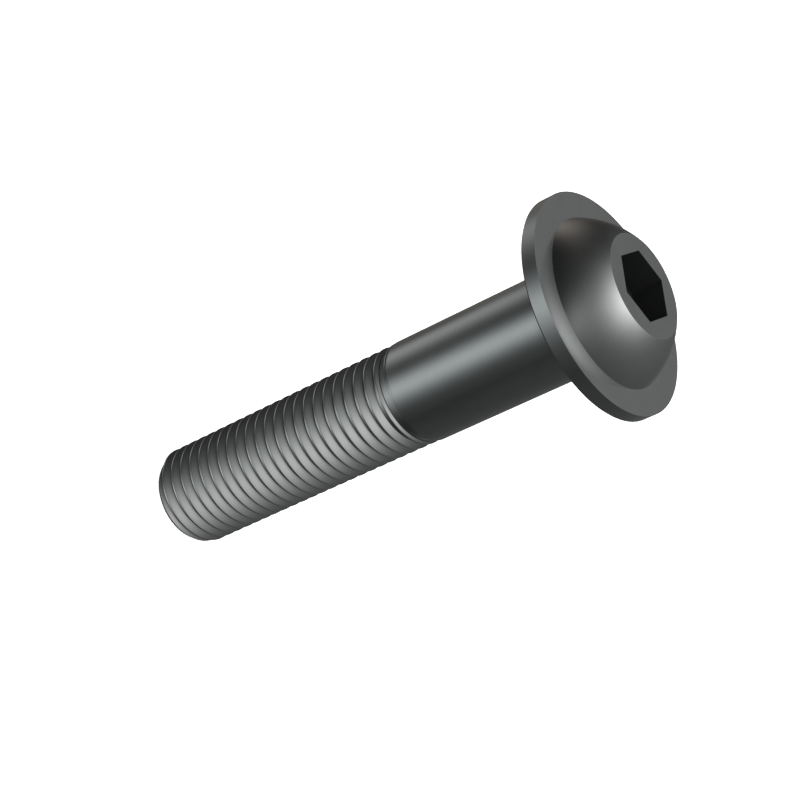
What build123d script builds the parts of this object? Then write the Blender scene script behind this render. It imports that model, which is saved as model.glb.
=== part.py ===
from build123d import *
from math import atan2, degrees, hypot, radians, tan
import os

# A flanged button head screw, M16 x 80, in millimetres and degrees.
# The origin is the centre of the bearing face under the collar. The head points up along +Z.

# Plain shank
length = 80.0
shank_diameter = 16.0
plain_length = 31.6
under_head_chamfer = 0.6

# Thread: one right-hand helical groove with flat crests and a flat root
crest_diameter = 15.86
pitch = 2.0
flank_angle = 60.0
crest_flat = pitch / 8
root_flat = pitch / 6
tip_to_first_crest = 0.64

# Run-out: the groove climbs a cone, then a narrow land and a shallow shoulder lead to the plain shank
runout_length = 2.4
land_length = 0.1
shoulder_length = 0.5

# Tip
tip_diameter = 13.8
tip_chamfer_length = 1.5

# Head: a flat collar with a domed button on it
head_height = 8.65
collar_diameter = 34.0
collar_thickness = 2.5
collar_edge_chamfer = 0.3
dome_diameter = 26.0
crown_diameter = 16.0

# Hexagon socket, with two of its flats square to X
socket_across_flats = 10.0
socket_depth = 5.2

# Radii and heights that follow from the sizes above
shank_radius = shank_diameter / 2
crest_radius = crest_diameter / 2
collar_radius = collar_diameter / 2
dome_radius = dome_diameter / 2
crown_radius = crown_diameter / 2
flank_slope = tan(radians(flank_angle / 2))
thread_depth = (pitch - crest_flat - root_flat) / 2 / flank_slope
root_radius = crest_radius - thread_depth
shoulder_z = -plain_length - shoulder_length
runout_z = shoulder_z - land_length

# The dome is part of a ball centred on the axis, through the dome's foot and the crown's edge
dome_height = head_height - collar_thickness
ball_drop = (dome_radius**2 - crown_radius**2 - dome_height**2) / (2 * dome_height)
ball_radius = hypot(dome_radius, ball_drop)
foot_angle = degrees(atan2(ball_drop, dome_radius))
crown_angle = degrees(atan2(ball_drop + dome_height, crown_radius))

# The thread cutter starts below the tip and stands proud of the crests
cutter_proud = pitch / 4
cutter_half_width = root_flat / 2 + (thread_depth + cutter_proud) * flank_slope
cutter_start_z = -length + tip_to_first_crest - 1.5 * pitch

# The run-out cone passes through the crests at the land, from inside the core to outside the cutter
runout_slope = runout_length / thread_depth
cone_inner_radius = root_radius - thread_depth / 2
cone_outer_radius = crest_radius + 1.5 * cutter_proud
cone_inner_z = runout_z - (crest_radius - cone_inner_radius) * runout_slope
cone_outer_z = runout_z + (cone_outer_radius - crest_radius) * runout_slope
cutter_travel = runout_z - cutter_start_z

# Thread cutter: a groove section swept up a helix, lifted out of the bar by the run-out cone
with BuildPart() as cutter:
    with BuildSketch(Plane.XZ):
        with BuildLine():
            Polyline(
                (root_radius, cutter_start_z - root_flat / 2),
                (root_radius, cutter_start_z + root_flat / 2),
                (crest_radius + cutter_proud, cutter_start_z + cutter_half_width),
                (crest_radius + cutter_proud, cutter_start_z - cutter_half_width),
                close=True,
            )
        make_face()
    with BuildLine():
        Helix(pitch, cutter_travel, crest_radius, center=(0, 0, cutter_start_z))
    sweep(is_frenet=True)
    with BuildSketch(Plane.YZ):
        with BuildLine():
            Polyline(
                (0, cone_inner_z),
                (cone_inner_radius, cone_inner_z),
                (cone_outer_radius, cone_outer_z),
                (cone_outer_radius, cone_outer_z + 2 * pitch),
                (0, cone_outer_z + 2 * pitch),
                close=True,
            )
        make_face()
    revolve(axis=Axis.Z, mode=Mode.SUBTRACT)

# The screw, turned about Z in one profile from the crown down to the tip
with BuildPart() as screw:
    with BuildSketch(Plane.YZ):
        with BuildLine():
            Polyline(
                (0, head_height),
                (0, -length),
                (tip_diameter / 2, -length),
                (crest_radius, -length + tip_chamfer_length),
                (crest_radius, shoulder_z),
                (shank_radius, -plain_length),
                (shank_radius, 0),
                (collar_radius, 0),
                (collar_radius, collar_thickness),
                (dome_radius, collar_thickness),
            )
            CenterArc((0, collar_thickness - ball_drop), ball_radius, foot_angle, crown_angle - foot_angle)
            Line((crown_radius, head_height), (0, head_height))
        make_face()
    revolve(axis=Axis.Z)
    bearing_edges = screw.edges().filter_by_position(Axis.Z, 0, 0).sort_by(SortBy.RADIUS)
    chamfer(bearing_edges[0], under_head_chamfer)
    chamfer(bearing_edges[-1], collar_edge_chamfer)
    with BuildSketch(Plane.XY.offset(head_height)):
        RegularPolygon(socket_across_flats / 2, 6, major_radius=False, rotation=30)
    extrude(amount=-socket_depth, mode=Mode.SUBTRACT)
    add(cutter.part, mode=Mode.SUBTRACT)

screw.part.label = "flanged_button_head_screw"
os.makedirs("parts", exist_ok=True)
export_step(screw.part, "parts/flanged_button_head_screw.step")
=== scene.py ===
import math

import bpy
import numpy as np
from mathutils import Matrix, Vector


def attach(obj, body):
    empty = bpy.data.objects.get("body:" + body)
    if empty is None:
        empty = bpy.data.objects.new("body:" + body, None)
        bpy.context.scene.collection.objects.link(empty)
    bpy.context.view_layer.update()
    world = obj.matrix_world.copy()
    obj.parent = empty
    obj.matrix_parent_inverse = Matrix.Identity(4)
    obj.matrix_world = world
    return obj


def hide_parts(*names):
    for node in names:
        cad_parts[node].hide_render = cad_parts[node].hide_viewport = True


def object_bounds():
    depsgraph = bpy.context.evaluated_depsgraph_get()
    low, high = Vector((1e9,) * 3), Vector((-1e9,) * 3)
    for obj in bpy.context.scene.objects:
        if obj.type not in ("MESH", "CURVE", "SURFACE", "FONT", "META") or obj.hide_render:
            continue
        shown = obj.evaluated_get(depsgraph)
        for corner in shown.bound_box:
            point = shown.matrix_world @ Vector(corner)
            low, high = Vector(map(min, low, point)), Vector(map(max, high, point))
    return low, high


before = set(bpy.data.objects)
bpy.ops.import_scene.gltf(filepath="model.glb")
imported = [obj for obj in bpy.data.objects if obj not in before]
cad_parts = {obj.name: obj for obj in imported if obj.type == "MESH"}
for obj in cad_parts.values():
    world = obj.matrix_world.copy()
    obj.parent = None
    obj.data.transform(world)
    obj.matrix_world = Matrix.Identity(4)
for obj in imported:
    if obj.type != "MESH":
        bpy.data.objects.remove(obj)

cad_low, cad_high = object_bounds()
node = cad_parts["flanged_button_head_screw"]

# Sizes in millimetres. The origin is the centre of the bearing face, and the head points up along +Z.
MM_PER_METRE = 1000

# Plain shank, with a small shoulder at its lower end
LENGTH = 80.0
SHANK_RADIUS = 8.0
PLAIN_LENGTH = 31.6
SHOULDER_LENGTH = 0.08
SHOULDER_ROUND = 0.03
UNDER_HEAD_FILLET = 0.6

# Thread: flat crests and a flat root, with soft corners
CREST_RADIUS = 7.93
PITCH = 2.0
CREST_FLAT = PITCH / 8
ROOT_FLAT = PITCH / 6
FLANK_SLOPE = math.tan(math.radians(30))
THREAD_DEPTH = (PITCH - CREST_FLAT - ROOT_FLAT) / 2 / FLANK_SLOPE
CREST_ROUND = 0.05
ROOT_ROUND = 0.16
TIP_TO_FIRST_CREST = 0.64
FIRST_CREST_Z = -LENGTH + TIP_TO_FIRST_CREST

# Run-out: the cone on which the groove climbs out of the bar
RUNOUT_Z = -31.78
RUNOUT_LENGTH = 3.4

# Tip
TIP_RADIUS = 6.9
TIP_CHAMFER_LENGTH = 1.5

# Head: a flat collar with a domed button on it
HEAD_HEIGHT = 8.65
COLLAR_RADIUS = 17.0
COLLAR_THICKNESS = 2.5
COLLAR_EDGE_CHAMFER = 0.3
DOME_RADIUS = 13.0
DOME_SPLIT_Z = 5.6
CROWN_RADIUS = 8.0

# Hexagon socket, with two of its flats square to X
SOCKET_APOTHEM = 5.0
SOCKET_DEPTH = 5.2
SOCKET_CORNER = 0.15

# Mesh: points around, rows on the flat and straight faces, and the angle from which an edge is sharp
AROUND = 192
COLLAR_TOP_RADII = (DOME_RADIUS, 13.6, 15.0, 16.4, COLLAR_RADIUS)
BEARING_FACE_RADII = (16.0, 12.5, SHANK_RADIUS + UNDER_HEAD_FILLET + 0.1)
SHANK_HEIGHTS = (-0.75, -4, -8, -12, -16, -20, -24, -28, -31, -PLAIN_LENGTH + 0.08)
SOCKET_BORDER = 0.25
CROWN_BORDER = 0.5
END_FACE_BORDER = 0.15
END_FACE_MIDDLE = 3.0
SHARP_ANGLE = math.radians(33)

# One pitch of the thread in turns: the rows lie closer together at the crest and at the root
STEPS = np.array([-0.5, -0.445, -0.415, -0.385, -0.30, -0.16, -0.085, -0.0625,
                  -0.04, 0.04, 0.0625, 0.085, 0.16, 0.30, 0.385, 0.415, 0.445])
ROWS_PER_TURN = len(STEPS)

# Creases are looked for at this many heights, a little inside both ends
CREASE_SAMPLES = 3000
CREASE_MARGIN = 1e-4

turn_at = np.arange(AROUND) / AROUND
angles = 2 * math.pi * np.arange(AROUND) / AROUND


def ring(radius, z):
    """One closed row of points at a height. The radius is a number or one value for each angle."""
    r = np.broadcast_to(np.asarray(radius, float), angles.shape)
    return np.column_stack((r * np.cos(angles), r * np.sin(angles), np.full(AROUND, float(z))))


def bend(start, corner, end, steps):
    """Points on a soft corner between two points, both ends included."""
    t = np.linspace(0, 1, steps + 1)[:, None]
    a, b, c = (np.asarray(p, float) for p in (start, corner, end))
    return (1 - t) ** 2 * a + 2 * t * (1 - t) * b + t**2 * c


def towards(start, end, distance):
    """The point at a distance from start on the way to end."""
    a, b = np.asarray(start, float), np.asarray(end, float)
    return a + (b - a) * distance / np.linalg.norm(b - a)


def dome_profile(start, end, steps):
    """Radius and height pairs on the domed button, between two heights."""
    rise = HEAD_HEIGHT - COLLAR_THICKNESS
    drop = (DOME_RADIUS**2 - CROWN_RADIUS**2 - rise**2) / (2 * rise)
    ball, centre_z = math.hypot(DOME_RADIUS, drop), COLLAR_THICKNESS - drop
    high, low = (math.asin((z - centre_z) / ball) for z in (start, end))
    slopes = list(np.linspace(high, low, steps + 1))
    # a short step at each end keeps the shading even where two pieces meet
    slopes[1:1] = [high + (low - high) * 0.01]
    slopes[-1:-1] = [low - (low - high) * 0.01]
    return [(ball * math.cos(a), centre_z + ball * math.sin(a)) for a in slopes]


def shank_profile():
    """Radius and height pairs from the dome's foot over the collar and down to the top of the thread."""
    points = [(r, COLLAR_THICKNESS) for r in COLLAR_TOP_RADII]
    points += [(COLLAR_RADIUS, 1.6), (COLLAR_RADIUS, COLLAR_EDGE_CHAMFER)]
    points.append((COLLAR_RADIUS - COLLAR_EDGE_CHAMFER, 0.0))
    points += [(r, 0.0) for r in BEARING_FACE_RADII]
    for a in np.linspace(0, math.pi / 2, 7):
        radius = SHANK_RADIUS + UNDER_HEAD_FILLET * (1 - math.sin(a))
        points.append((radius, -UNDER_HEAD_FILLET * (1 - math.cos(a))))
    points += [(SHANK_RADIUS, z) for z in SHANK_HEIGHTS]
    shank_end = (SHANK_RADIUS, -PLAIN_LENGTH)
    shoulder_foot = (CREST_RADIUS, -PLAIN_LENGTH - SHOULDER_LENGTH)
    round_start = (SHANK_RADIUS, -PLAIN_LENGTH + SHOULDER_ROUND)
    round_end = towards(shank_end, shoulder_foot, SHOULDER_ROUND)
    points += list(bend(round_start, shank_end, round_end, 2))
    points.append(shoulder_foot)
    return points


def socket_rows():
    """The hexagon socket from the middle of its floor up to its rim, then the flat crown round it."""
    off = (angles + math.pi / 6) % (math.pi / 3) - math.pi / 6
    hexagon = SOCKET_APOTHEM / np.cos(off)
    floor_z = HEAD_HEIGHT - SOCKET_DEPTH
    rows = [ring(0.0, floor_z)]
    rows += [ring(r, floor_z) for r in (hexagon * 0.5, hexagon - 0.3, hexagon - SOCKET_CORNER)]
    rows += [ring(hexagon - 0.04, floor_z + 0.04), ring(hexagon, floor_z + SOCKET_CORNER)]
    rows += [ring(hexagon, z) for z in (floor_z + 0.3, floor_z + 2.5, HEAD_HEIGHT)]
    inner, outer = hexagon + SOCKET_BORDER, CROWN_RADIUS - CROWN_BORDER
    rows += [ring(inner, HEAD_HEIGHT)]
    rows += [ring(inner + (outer - inner) * t, HEAD_HEIGHT) for t in (0.33, 0.67)]
    rows += [ring(outer, HEAD_HEIGHT)]
    return rows


def groove_radius(phase):
    """Radius of the thread's own section, with the phase in turns from a crest's middle."""
    from_crest = np.abs((phase + 0.5) % 1.0 - 0.5) * PITCH
    flank = (from_crest - CREST_FLAT / 2) / FLANK_SLOPE
    depth = np.clip(flank, 0.0, THREAD_DEPTH)
    # soft corners at the crest
    rounded = np.clip((flank + CREST_ROUND) ** 2 / (4 * CREST_ROUND), 0, None)
    depth = np.where(flank < CREST_ROUND, rounded, depth)
    depth = np.where(flank < -CREST_ROUND, 0.0, depth)
    # soft corners at the root
    near = THREAD_DEPTH - flank
    rounded = np.clip((near + ROOT_ROUND) ** 2 / (4 * ROOT_ROUND), 0, None)
    depth = np.where(near < ROOT_ROUND, THREAD_DEPTH - rounded, depth)
    depth = np.where(near < -ROOT_ROUND, THREAD_DEPTH, depth)
    return CREST_RADIUS - depth


def turned_radius(z):
    """Radius of the bar that the thread is on, with the chamfer at the tip."""
    t = np.clip((z + LENGTH) / TIP_CHAMFER_LENGTH, 0, 1)
    return TIP_RADIUS + (CREST_RADIUS - TIP_RADIUS) * t


def runout_radius(z):
    """Radius of the run-out cone."""
    return CREST_RADIUS + (z - RUNOUT_Z) * THREAD_DEPTH / RUNOUT_LENGTH


def thread_radius(z, phase):
    """Radius of the threaded length, with its tip and its run-out."""
    return np.minimum(turned_radius(z), np.maximum(groove_radius(phase), runout_radius(z)))


def crossings(start, end, turn, other_radius):
    """Heights between start and end where the groove's own section meets another surface."""
    heights = np.linspace(start + CREASE_MARGIN, end - CREASE_MARGIN, CREASE_SAMPLES)
    section = groove_radius((heights - FIRST_CREST_Z) / PITCH - turn)
    sign = np.sign(section - other_radius(heights))
    return list(heights[np.nonzero(np.diff(sign))[0]])


def thread_grid():
    """Heights, radii and creases of the threaded length, from the tip up to the shoulder."""
    low_z, high_z = -LENGTH, -PLAIN_LENGTH - SHOULDER_LENGTH
    # the rows rise with the helix, start below the tip and end above the shoulder, and are cut there
    turns = int(math.ceil((high_z - low_z) / PITCH)) + 4
    first = FIRST_CREST_Z - 2 * PITCH
    base = np.concatenate([first + PITCH * (n + STEPS) for n in range(turns)])
    z = base[:, None] + PITCH * np.arange(AROUND)[None, :] / AROUND
    z = np.clip(z, low_z, high_z)
    # each crease that crosses the rows pulls the nearest row onto it
    chamfer_top = low_z + TIP_CHAMFER_LENGTH
    cone_foot = RUNOUT_Z - RUNOUT_LENGTH - 0.2
    pulled = np.zeros(z.shape, bool)
    for column in range(AROUND):
        creases = [chamfer_top, RUNOUT_Z]
        creases += crossings(low_z, chamfer_top, turn_at[column], turned_radius)
        creases += crossings(cone_foot, RUNOUT_Z, turn_at[column], runout_radius)
        for crease in creases:
            nearest = int(np.argmin(np.abs(z[:, column] - crease)))
            if low_z < z[nearest, column] < high_z:
                z[nearest, column] = crease
                pulled[nearest, column] = True
    phase = (z - FIRST_CREST_Z) / PITCH - turn_at[None, :]
    return z, thread_radius(z, phase), pulled


class Skin:
    """The surface of one piece, built from closed rows of points."""

    def __init__(self):
        self.vertices = []
        self.faces = []

    def row(self, points):
        first = len(self.vertices)
        self.vertices.extend(points.tolist())
        return np.arange(first, first + AROUND)

    def face(self, *corners):
        """A face through the corners. One that occurs twice running counts once."""
        kept = []
        for c in corners:
            if not kept or kept[-1] != c:
                kept.append(int(c))
        if len(kept) > 1 and kept[0] == kept[-1]:
            kept.pop()
        if len(set(kept)) == len(kept) > 2:
            self.faces.append(kept)

    def join(self, upper, lower):
        """A band of faces between two closed rows. The first is nearer the socket along the surface."""
        for i in range(AROUND):
            k = (i + 1) % AROUND
            self.face(upper[i], lower[i], lower[k], upper[k])

    def band(self, rings, centre=False):
        """Closed rows joined one to the next. With centre, the first row is a single point."""
        rows = [self.row(points) for points in rings]
        if centre:
            rows[0][:] = rows[0][0]
        for upper, lower in zip(rows, rows[1:]):
            self.join(upper, lower)
        return rows

    def make(self, name):
        mesh = bpy.data.meshes.new(name)
        points = [[c / MM_PER_METRE for c in v] for v in self.vertices]
        mesh.from_pydata(points, [], self.faces)
        mesh.validate()
        mesh.shade_smooth()
        mesh.set_sharp_from_angle(angle=SHARP_ANGLE)
        piece = bpy.data.objects.new(name, mesh)
        bpy.context.scene.collection.objects.link(piece)
        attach(piece, "root")
        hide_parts("flanged_button_head_screw")
        return piece


def thread_points(skin, edge, z, r):
    """The grid's points, as a table of vertex numbers. The top row is the shoulder's edge."""
    top = len(z) - 1
    index = np.zeros(z.shape, int)
    index[top] = edge
    for column in range(AROUND):
        a = angles[column]
        for row in range(top - 1, -1, -1):
            # rows that were cut off at an end share one point
            if abs(z[row, column] - z[row + 1, column]) < 1e-7:
                index[row, column] = index[row + 1, column]
                continue
            index[row, column] = len(skin.vertices)
            radius = r[row, column]
            skin.vertices.append([radius * math.cos(a), radius * math.sin(a), z[row, column]])
    return index


def thread_faces(skin, index, pulled):
    """The faces between the grid's points. Past the last column a row goes on one turn higher."""
    top = len(index) - 1
    for column in range(AROUND):
        following = (column + 1) % AROUND
        shift = ROWS_PER_TURN if following == 0 else 0
        for row in range(-shift, top):
            left, left_up = max(row, 0), max(row + 1, 0)
            right, right_up = min(row + shift, top), min(row + 1 + shift, top)
            corners = (index[left_up, column], index[left, column],
                       index[right, following], index[right_up, following])
            # where a crease runs from corner to corner, the face is folded along it
            if pulled[left, column] and pulled[right_up, following]:
                skin.face(corners[0], corners[1], corners[3])
                skin.face(corners[1], corners[2], corners[3])
            elif pulled[left_up, column] and pulled[right, following]:
                skin.face(corners[0], corners[1], corners[2])
                skin.face(corners[0], corners[2], corners[3])
            else:
                skin.face(*corners)


def end_face(skin, edge, edge_radius):
    """The flat end face at the tip."""
    inner = skin.row(ring(edge_radius - END_FACE_BORDER, -LENGTH))
    middle = skin.row(ring(END_FACE_MIDDLE, -LENGTH))
    skin.join(edge, inner)
    skin.join(inner, middle)
    centre = len(skin.vertices)
    skin.vertices.append([0.0, 0.0, -LENGTH])
    for i in range(AROUND):
        skin.face(middle[i], centre, middle[(i + 1) % AROUND])


def screw_body():
    """All but the lower dome: the socket, crown and upper dome, then the collar, shank and thread."""
    skin = Skin()
    upper_dome = [ring(*p) for p in dome_profile(HEAD_HEIGHT, DOME_SPLIT_Z, 16)]
    skin.band(socket_rows() + upper_dome, centre=True)
    collar_and_shank = skin.band([ring(*p) for p in shank_profile()])
    z, r, pulled = thread_grid()
    index = thread_points(skin, collar_and_shank[-1], z, r)
    thread_faces(skin, index, pulled)
    end_face(skin, index[0], r[0])
    return skin.make("screw_body")


def lower_dome():
    """The lower dome, which the collar's top mirrors."""
    skin = Skin()
    skin.band([ring(*p) for p in dome_profile(DOME_SPLIT_Z, COLLAR_THICKNESS, 14)])
    return skin.make("lower_dome")


body, dome = screw_body(), lower_dome()

# The body mirrors the room and the lower dome, but not itself, so that the flanks are even
body.visible_glossy = False
body.visible_shadow = False


class Nodes:
    """A short way to add and link shader nodes."""

    def __init__(self, tree):
        self.tree = tree
        tree.nodes.clear()

    def add(self, kind, inputs=None, **settings):
        made = self.tree.nodes.new(kind)
        for name, value in settings.items():
            setattr(made, name, value)
        for name, value in (inputs or {}).items():
            if isinstance(value, bpy.types.NodeSocket):
                self.tree.links.new(value, made.inputs[name])
            else:
                made.inputs[name].default_value = value
        return made

    def ramp(self, value, low, high, start=0.0, end=1.0, kind="SMOOTHSTEP"):
        """A value that goes from start to end while the input goes from low to high."""
        inputs = {0: value, 1: low, 2: high, 3: start, 4: end}
        return self.add("ShaderNodeMapRange", inputs, interpolation_type=kind).outputs[0]

    def math(self, operation, a, b=0.0):
        return self.add("ShaderNodeMath", {0: a, 1: b}, operation=operation).outputs[0]

    def product(self, first, *others):
        for other in others:
            first = self.math("MULTIPLY", first, other)
        return first

    def noise(self, vector, scale, detail=2.0, rough=0.5):
        inputs = {"Vector": vector, "Scale": scale, "Detail": detail, "Roughness": rough}
        return self.add("ShaderNodeTexNoise", inputs).outputs["Fac"]


# Tones of the steel. Each painted shade is a share of the lightness that a place loses, and the painted
# highlight on the crests is a share that it gains.
STEEL_TONE = (0.330, 0.350)
STEEL_TINT = (0.975, 0.99)
FLECK = (0.985, 1.015)
FLANK_PAINTED_SHADE = 0.42
SOCKET_PAINTED_SHADE = 0.87
UNDER_HEAD_PAINTED_SHADE = 0.30
ROOT_PAINTED_SHADE = 0.22
CREASE_PAINTED_SHADE = 0.85
CREST_PAINTED_HIGHLIGHT = 0.28
STEEL_ROUGHNESS = (0.15, 0.18)
FLANK_ROUGHNESS = 0.02
STEEL_EDGE_TINT = (0.9, 0.9, 0.9, 1.0)
BUMP_STRENGTH = 0.05
BUMP_DISTANCE = 0.00006


def thread_painted_light(n, x, y, z_mm):
    """Lightness along the helix: painted shade in the root and in the run-out's crease, and a painted
    highlight on the crests.
    """
    turn = n.math("DIVIDE", n.math("ARCTAN2", y, x), 2 * math.pi)
    height = n.math("DIVIDE", n.math("SUBTRACT", z_mm, FIRST_CREST_Z), PITCH)
    phase = n.math("SUBTRACT", height, turn)
    from_root = n.math("ABSOLUTE", n.math("SUBTRACT", n.math("FRACT", phase), 0.5))
    from_crest = n.math("MULTIPLY", n.math("SUBTRACT", 0.5, from_root), PITCH)
    # how deep the groove's flank and the run-out cone lie at this place, in millimetres
    flank = n.math("DIVIDE", n.math("SUBTRACT", from_crest, CREST_FLAT / 2), FLANK_SLOPE)
    cone = n.math("MULTIPLY", n.math("SUBTRACT", RUNOUT_Z, z_mm), THREAD_DEPTH / RUNOUT_LENGTH)
    # painted shade in the thread's root, fading out at the tip
    root = n.product(n.ramp(flank, 1.14, 1.20, 0.0, ROOT_PAINTED_SHADE), n.ramp(cone, 1.15, 1.25))
    root = n.product(root, n.ramp(z_mm, -79.0, -78.0))
    # painted shade in the concave crease where a flank meets the run-out cone
    apart = n.math("ABSOLUTE", n.math("SUBTRACT", flank, cone))
    on_cone = n.product(n.ramp(cone, 1.15, 1.25, 1.0, 0.0), n.ramp(cone, 0.1, 0.2))
    crease = n.product(n.ramp(apart, 0.06, 0.20, CREASE_PAINTED_SHADE, 0.0), on_cone)
    # painted highlight on the full crests, below the run-out and above the tip
    full_crests = n.ramp(z_mm, -34.5, -33.5, 1.0, 0.0)
    crest_highlight = n.product(n.ramp(flank, 0.0, 0.06, CREST_PAINTED_HIGHLIGHT, 0.0), full_crests)
    crest_highlight = n.product(crest_highlight, n.ramp(z_mm, -79.0, -78.5))
    dark = n.math("SUBTRACT", 1.0, n.math("MAXIMUM", root, crease))
    return n.product(dark, n.math("ADD", crest_highlight, 1.0))


def blackened_steel():
    """Dark oxide on steel: smooth and satin on the turned faces, a little rougher on the thread, with
    painted shade in the grooves, the socket and under the head and a painted highlight on the crests.
    """
    material = bpy.data.materials.new("blackened_steel")
    material.use_nodes = True
    n = Nodes(material.node_tree)
    coordinates = n.add("ShaderNodeTexCoord").outputs
    place = coordinates["Object"]
    x, y, z = n.add("ShaderNodeSeparateXYZ", {0: place}).outputs
    z_mm = n.math("MULTIPLY", z, float(MM_PER_METRE))
    squares = n.math("ADD", n.math("POWER", x, 2.0), n.math("POWER", y, 2.0))
    radius = n.math("SQRT", squares)
    normal_z = n.add("ShaderNodeSeparateXYZ", {0: coordinates["Normal"]}).outputs["Z"]
    lean = n.math("ABSOLUTE", normal_z)

    # where each face is: the thread's flanks, the socket and the shank just under the head, which all
    # get painted shade
    flanks = n.product(n.ramp(z_mm, -31.9, -31.7, 1.0, 0.0), n.ramp(lean, 0.40, 0.75))
    socket = n.product(n.ramp(radius, 0.0060, 0.0062, 1.0, 0.0), n.ramp(z_mm, 8.640, 8.648, 1.0, 0.0))
    socket = n.product(socket, n.ramp(z_mm, 0.0, 1.0))
    # the socket is painted as a dull dark non-metal: painted shade in the recess
    metal = n.math("SUBTRACT", 1.0, socket)
    # painted shade on the shank just under the collar, strongest next to the head
    under_head_shade = n.product(n.ramp(z_mm, -0.3, 0.0, 1.0, 0.0), metal)
    under_head_shade = n.product(n.ramp(z_mm, -6.0, -1.5, 0.0, UNDER_HEAD_PAINTED_SHADE), under_head_shade)

    # colour: a slow cloud and a fine grain over the places darkened by painted shade and lightened by
    # the painted highlight
    cloud = n.noise(place, 260.0, 4.0, 0.55)
    grain = n.noise(place, 2600.0, 3.0, 0.6)
    shade = n.ramp(cloud, 0.3, 0.7, *STEEL_TONE, "LINEAR")
    fleck = n.ramp(grain, 0.35, 0.7, *FLECK, "LINEAR")
    # painted shade on the thread's flanks and in the socket
    painted_shade_lost = n.math("ADD", n.product(flanks, FLANK_PAINTED_SHADE), n.product(socket, SOCKET_PAINTED_SHADE))
    painted_light_share = n.product(n.math("SUBTRACT", 1.0, painted_shade_lost), n.math("SUBTRACT", 1.0, under_head_shade))
    painted_light_share = n.product(painted_light_share, thread_painted_light(n, x, y, z_mm))
    tone = n.product(n.product(shade, fleck), painted_light_share)
    red, blue = (n.product(tone, share) for share in STEEL_TINT)
    colour = n.add("ShaderNodeCombineColor", {0: red, 1: tone, 2: blue}).outputs[0]

    rough = n.ramp(cloud, 0.3, 0.7, *STEEL_ROUGHNESS, "LINEAR")
    rough = n.math("ADD", rough, n.product(flanks, FLANK_ROUGHNESS))
    unevenness = n.math("ADD", n.product(grain, 0.35), n.product(cloud, 0.65))
    bump = n.add("ShaderNodeBump", {"Strength": BUMP_STRENGTH, "Distance": BUMP_DISTANCE,
                                    "Height": unevenness})
    shader = n.add("ShaderNodeBsdfPrincipled", {"Base Color": colour, "Roughness": rough,
                                                "Metallic": metal,
                                                "Specular IOR Level": n.product(metal, 0.5),
                                                "Normal": bump.outputs[0]})
    shader.inputs["Specular Tint"].default_value = STEEL_EDGE_TINT
    # the inner side of the open pieces is no face of the screw, so it is clear
    inside = n.add("ShaderNodeNewGeometry").outputs["Backfacing"]
    clear = n.add("ShaderNodeBsdfTransparent").outputs[0]
    surface = n.add("ShaderNodeMixShader", {0: inside, 1: shader.outputs[0], 2: clear})
    out = n.add("ShaderNodeOutputMaterial")
    n.tree.links.new(surface.outputs[0], out.inputs[0])
    return material


def floor_paint():
    """Pale matt paint that glows, so that the floor is plain and bright all over."""
    material = bpy.data.materials.new("pale_floor")
    material.use_nodes = True
    n = Nodes(material.node_tree)
    place = n.add("ShaderNodeTexCoord").outputs["Object"]
    tone = n.ramp(n.noise(place, 3.0), 0.3, 0.7, 0.90, 0.91, "LINEAR")
    colour = n.add("ShaderNodeCombineXYZ", {0: tone, 1: tone, 2: tone}).outputs[0]
    shader = n.add("ShaderNodeBsdfPrincipled", {"Base Color": colour, "Roughness": 0.9})
    shader.inputs["Emission Color"].default_value = (1.0, 1.0, 1.0, 1.0)
    shader.inputs["Emission Strength"].default_value = 1.0
    shader.inputs["Specular IOR Level"].default_value = 0.1
    out = n.add("ShaderNodeOutputMaterial")
    n.tree.links.new(shader.outputs[0], out.inputs[0])
    return material


steel = blackened_steel()
for mesh in (body.data, dome.data, node.data):
    mesh.materials.clear()
    mesh.materials.append(steel)

# Floor under the tip: radius and height pairs in metres. It curves up into a round backdrop.
FLOOR_PROFILE = [(0.001, 0.0), (1.0, 0.0), (3.0, 0.0), (3.6, 0.10),
                 (4.0, 0.40), (4.2, 0.9), (4.25, 1.6), (4.25, 7.0)]
FLOOR_SIDES = 64


def pale_floor():
    """The floor and its backdrop in one smooth sheet."""
    points, faces = [], []
    for radius, height in FLOOR_PROFILE:
        for a in 2 * math.pi * np.arange(FLOOR_SIDES) / FLOOR_SIDES:
            points.append((radius * math.cos(a), radius * math.sin(a), height))
    for row in range(len(FLOOR_PROFILE) - 1):
        start, end = row * FLOOR_SIDES, (row + 1) * FLOOR_SIDES
        for i in range(FLOOR_SIDES):
            k = (i + 1) % FLOOR_SIDES
            faces.append((start + i, end + i, end + k, start + k))
    faces.append(tuple(range(FLOOR_SIDES)))
    mesh = bpy.data.meshes.new("floor")
    mesh.from_pydata(points, [], faces)
    mesh.shade_smooth()
    mesh.materials.append(floor_paint())
    return bpy.data.objects.new("floor", mesh)


floor = pale_floor()
floor.location.z = cad_low.z
bpy.context.scene.collection.objects.link(floor)
floor.visible_glossy = False
floor.visible_diffuse = False
floor.visible_shadow = False

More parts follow.
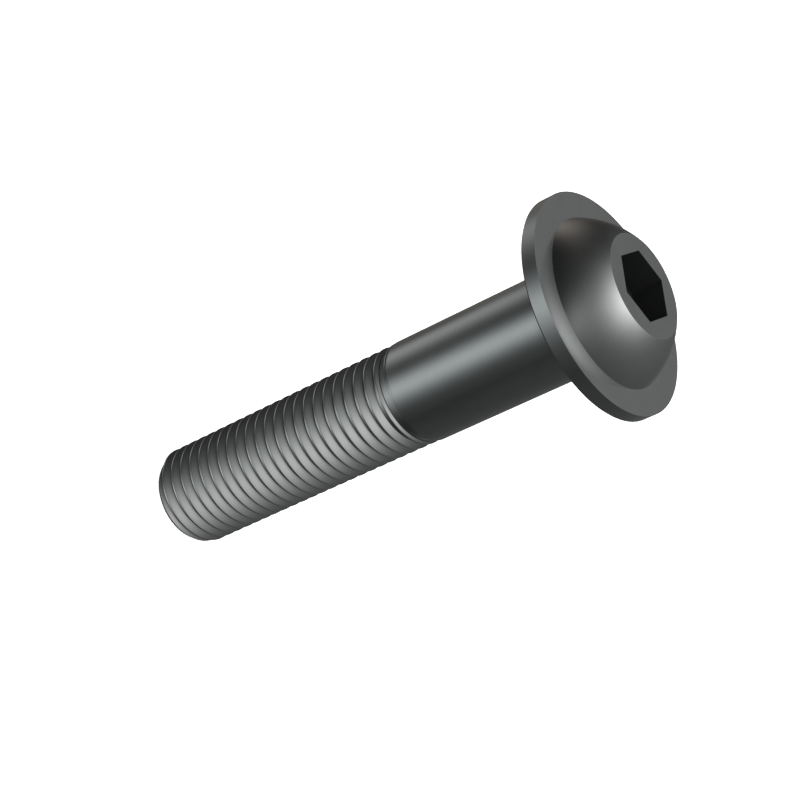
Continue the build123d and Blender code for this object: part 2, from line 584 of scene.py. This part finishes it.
# Camera in metres. It looks at a point on the axis and is rolled, so that the head is up on the right.
CAMERA_PLACE = (0.01403, -0.27698, 0.14246)
CAMERA_TARGET = (0, 0, -0.03576)
CAMERA_ROLL = math.radians(25.01)
camera_data = bpy.data.cameras.new("camera")
camera_data.sensor_fit = "HORIZONTAL"
camera_data.sensor_width = 36.0
camera_data.lens = 99.3
camera_data.clip_start = 0.01
camera_data.clip_end = 50.0
camera = bpy.data.objects.new("camera", camera_data)
bpy.context.scene.collection.objects.link(camera)
bpy.context.scene.camera = camera
camera.location = CAMERA_PLACE
back = (camera.location - Vector(CAMERA_TARGET)).normalized()
axis_up = Vector((0, 0, 1))
upright = (axis_up - back * axis_up.dot(back)).normalized()
right = upright * math.cos(CAMERA_ROLL) + back.cross(upright) * -math.sin(CAMERA_ROLL)
up = back.cross(right)
camera.matrix_world = Matrix((
    (right.x, up.x, back.x, camera.location.x),
    (right.y, up.y, back.y, camera.location.y),
    (right.z, up.z, back.z, camera.location.z),
    (0, 0, 0, 1)))

# Soft boxes: azimuth and elevation, half-widths across and upward, turn, strength and colour of each
SOFT_BOXES = [
    (58.3, 80.8, 0.507, 0.425, -47.3, 2.68, (1.0, 1.0, 1.0)),
    (-79.9, 22.2, 0.309, 0.605, 36.1, 0.37, (0.97, 1.0, 1.0)),
    (-109.1, -33.0, 0.300, 0.400, 60.0, 0.98, (0.95, 1.0, 1.02)),
    (-124.0, -71.0, 0.260, 0.400, 0.0, 0.90, (0.96, 1.0, 1.01)),
    (160.0, -60.0, 0.400, 0.400, 0.0, 0.10, (1.0, 1.0, 1.0)),
    (140.0, -8.6, 0.202, 0.515, -45.8, 0.34, (1.10, 0.98, 0.90)),
    (168.6, -32.9, 0.164, 0.357, 78.5, 0.64, (0.97, 1.0, 0.99)),
    (33.5, 29.9, 1.500, 0.930, -31.1, 0.18, (0.98, 1.0, 1.0)),
]
ROOM_LIGHT = 0.030
ROOM_TINT = (0.97, 1.0, 0.99)


def along(n, direction, axis):
    """How far the direction goes along an axis."""
    made = n.add("ShaderNodeVectorMath", {0: direction, 1: axis}, operation="DOT_PRODUCT")
    return made.outputs["Value"]


def soft_box(n, direction, azimuth, elevation, width, height, turn, strength, colour):
    """The light of one soft oval in the room, strongest in its middle."""
    a, e, t = (math.radians(v) for v in (azimuth, elevation, turn))
    aim = Vector((math.cos(a) * math.cos(e), math.sin(a) * math.cos(e), math.sin(e)))
    level = Vector((-math.sin(a), math.cos(a), 0))
    steep = aim.cross(level)
    side = (level * math.cos(t) + steep * math.sin(t)) / width
    tall = (steep * math.cos(t) - level * math.sin(t)) / height
    across, upward = along(n, direction, side), along(n, direction, tall)
    spread = n.math("ADD", n.product(across, across), n.product(upward, upward))
    glow = n.math("EXPONENT", n.product(spread, -1.0))
    facing = n.ramp(along(n, direction, aim), 0.0, 0.3, 0.0, strength, "LINEAR")
    lit = n.add("ShaderNodeVectorMath", {0: colour, "Scale": n.product(glow, facing)}, operation="SCALE")
    return lit.outputs[0]


def studio():
    """A dim room with soft boxes fixed in the world. They leave the left side dark."""
    world = bpy.data.worlds.new("studio")
    bpy.context.scene.world = world
    world.use_nodes = True
    n = Nodes(world.node_tree)
    direction = n.add("ShaderNodeTexCoord").outputs["Generated"]
    total = tuple(ROOM_LIGHT * c for c in ROOM_TINT)
    for box in SOFT_BOXES:
        lit = soft_box(n, direction, *box)
        total = n.add("ShaderNodeVectorMath", {0: lit, 1: total}, operation="ADD").outputs[0]
    background = n.add("ShaderNodeBackground", {"Color": total})
    out = n.add("ShaderNodeOutputWorld")
    n.tree.links.new(background.outputs[0], out.inputs[0])


studio()

scene = bpy.context.scene
scene.view_settings.view_transform = "Standard"
scene.view_settings.look = "None"
